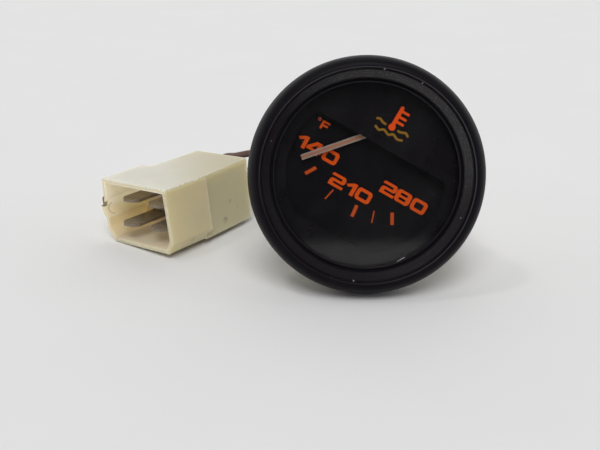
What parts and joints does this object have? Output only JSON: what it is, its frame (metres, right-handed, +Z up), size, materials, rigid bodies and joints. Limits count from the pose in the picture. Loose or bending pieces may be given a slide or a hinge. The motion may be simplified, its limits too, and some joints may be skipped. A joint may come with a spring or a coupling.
{
  "type": "water temperature gauge",
  "caption": "Round panel gauge with a black bezel, flat glass, masked dial and pointer, rear studs with a clamp strip, a lamp holder and wires to a flat-tab connector.",
  "frame": {"origin": "on the table, under the middle of the gauge's box, its wires and connector left out", "axes": "+Z up from the table, -Y the way the dial faces, -X the side where the connector lies"},
  "size_m": [0.1013, 0.0936, 0.057],
  "materials": {
    "bezel": "satin black, slightly glossy",
    "glass": "clear, smooth",
    "gasket": "matt",
    "mask": "matt black",
    "dial": "matt black",
    "steel": "satin",
    "zinc_steel": "passivated zinc plate, drawn",
    "needle": "matt off-white",
    "black_plastic": "matt",
    "grey_metal": "matt",
    "soft_iron": "matt",
    "brass": "satin",
    "magnet": "matt",
    "form": "matt",
    "copper": "enamelled wire",
    "white_nylon": "satin",
    "bulb_glass": "clear",
    "black_rubber": "matt",
    "cream_nylon": "satin, aged",
    "tinned_brass": "dull, oxidised",
    "wire_brown": "satin vinyl",
    "wire_black": "satin vinyl",
    "wire_red": "satin vinyl",
    "wire_blue": "satin vinyl"
  },
  "bodies": {
    "gauge_body": {"bezel": "bezel", "glass": "glass", "gasket": "gasket", "mask_plate": "mask", "dial_plate": "dial", "dial_screws": "steel", "case": "zinc_steel", "stop_pins": "steel", "bearing_bridge": "brass", "front_bearing": "brass", "rear_bearing": "brass", "movement_frame": "zinc_steel", "return_magnet": "magnet", "coil_form_left": "form", "coil_form_right": "form", "winding_left": "copper", "winding_right": "copper", "core_left": "steel", "core_right": "steel", "mounting_studs": "steel", "stud_washers": "steel", "stud_nuts": "steel", "grommet": "black_rubber", "connector_housing": "cream_nylon", "connector_tabs": "tinned_brass", "wire_brown": "wire_brown", "wire_black": "wire_black", "wire_red": "wire_red", "wire_blue": "wire_blue"},
    "pointer": {"needle": "needle", "needle_boss": "black_plastic", "counterweight": "grey_metal", "spindle": "steel", "armature": "soft_iron"},
    "clamp": {"clamp_bridge": "zinc_steel", "clamp_washers": "steel", "knurled_nuts": "brass"},
    "lamp": {"lamp_holder": "white_nylon", "bulb_base": "brass", "bulb": "bulb_glass"}
  },
  "joints": [
    {"name": "needle_turn", "type": "hinge", "parent": "gauge_body", "child": "pointer", "pos_m": [0.00684, -0.00983, 0.03948], "axis": [0, -0.9633, 0.2683], "range_deg": [0, 78], "stiffness_Nm_per_rad": 0.00002, "springref_deg": -28.65},
    {"name": "clamp_slide", "type": "slide", "parent": "gauge_body", "child": "clamp", "axis": [0, -0.9633, 0.2683], "range_m": [0, 0.0036]},
    {"name": "lamp_turn", "type": "hinge", "parent": "gauge_body", "child": "lamp", "pos_m": [-0.01148, 0.00995, 0.01508], "axis": [0, -0.9633, 0.2683], "range_deg": [0, 60]}
  ]
}
